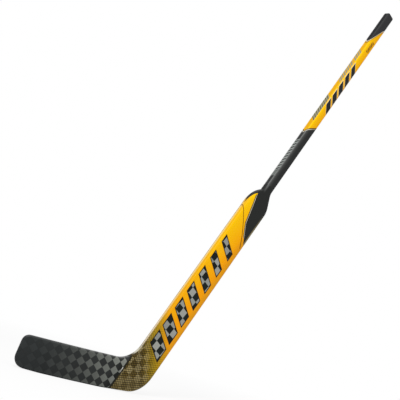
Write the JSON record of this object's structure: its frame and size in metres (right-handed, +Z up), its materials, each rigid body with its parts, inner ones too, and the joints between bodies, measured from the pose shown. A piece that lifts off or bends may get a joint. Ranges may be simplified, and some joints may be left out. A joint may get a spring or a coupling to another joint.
{
  "type": "hockey goalie stick",
  "caption": "Ice hockey goalie stick with a hollow shaft on a spigot, a wide foam-cored paddle, a curved blade and a pull-out butt plug.",
  "frame": {"origin": "on the flat of the blade's sole, in the middle plane of the paddle", "axes": "+Z up from the ice, -X towards the toe of the blade with the shaft leaning to +X, -Y the way the front face looks"},
  "size_m": [0.9552, 0.0506, 1.3524],
  "materials": {
    "paddle_paint": "glossy lacquer over carbon laminate",
    "blade_laminate": "clear lacquer over spread-tow carbon",
    "shaft_paint": "satin lacquer over carbon laminate",
    "plug_rubber": "matte moulded rubber",
    "inner_laminate": "raw carbon laminate",
    "dense_foam": "dense cast foam",
    "light_foam": "closed-cell foam"
  },
  "bodies": {
    "stick": {"shaft_tube": "shaft_paint", "shaft_spigot": "inner_laminate", "paddle_front_skin": "paddle_paint", "paddle_back_skin": "paddle_paint", "blade_front_skin": "blade_laminate", "blade_back_skin": "blade_laminate", "shoulder_block": "dense_foam", "paddle_toe_side_rail": "inner_laminate", "paddle_heel_side_rail": "inner_laminate", "paddle_center_rib": "inner_laminate", "paddle_toe_side_core": "light_foam", "paddle_heel_side_core": "light_foam", "heel_block": "dense_foam", "blade_toe_block": "dense_foam", "blade_upper_core": "light_foam", "blade_lower_core": "light_foam", "blade_bridge": "inner_laminate"},
    "plug": {"butt_plug": "plug_rubber"}
  },
  "joints": [
    {"name": "plug_slide", "type": "slide", "parent": "stick", "child": "plug", "axis": [0.4067, 0, 0.9135], "range_m": [0, 0.06]}
  ]
}
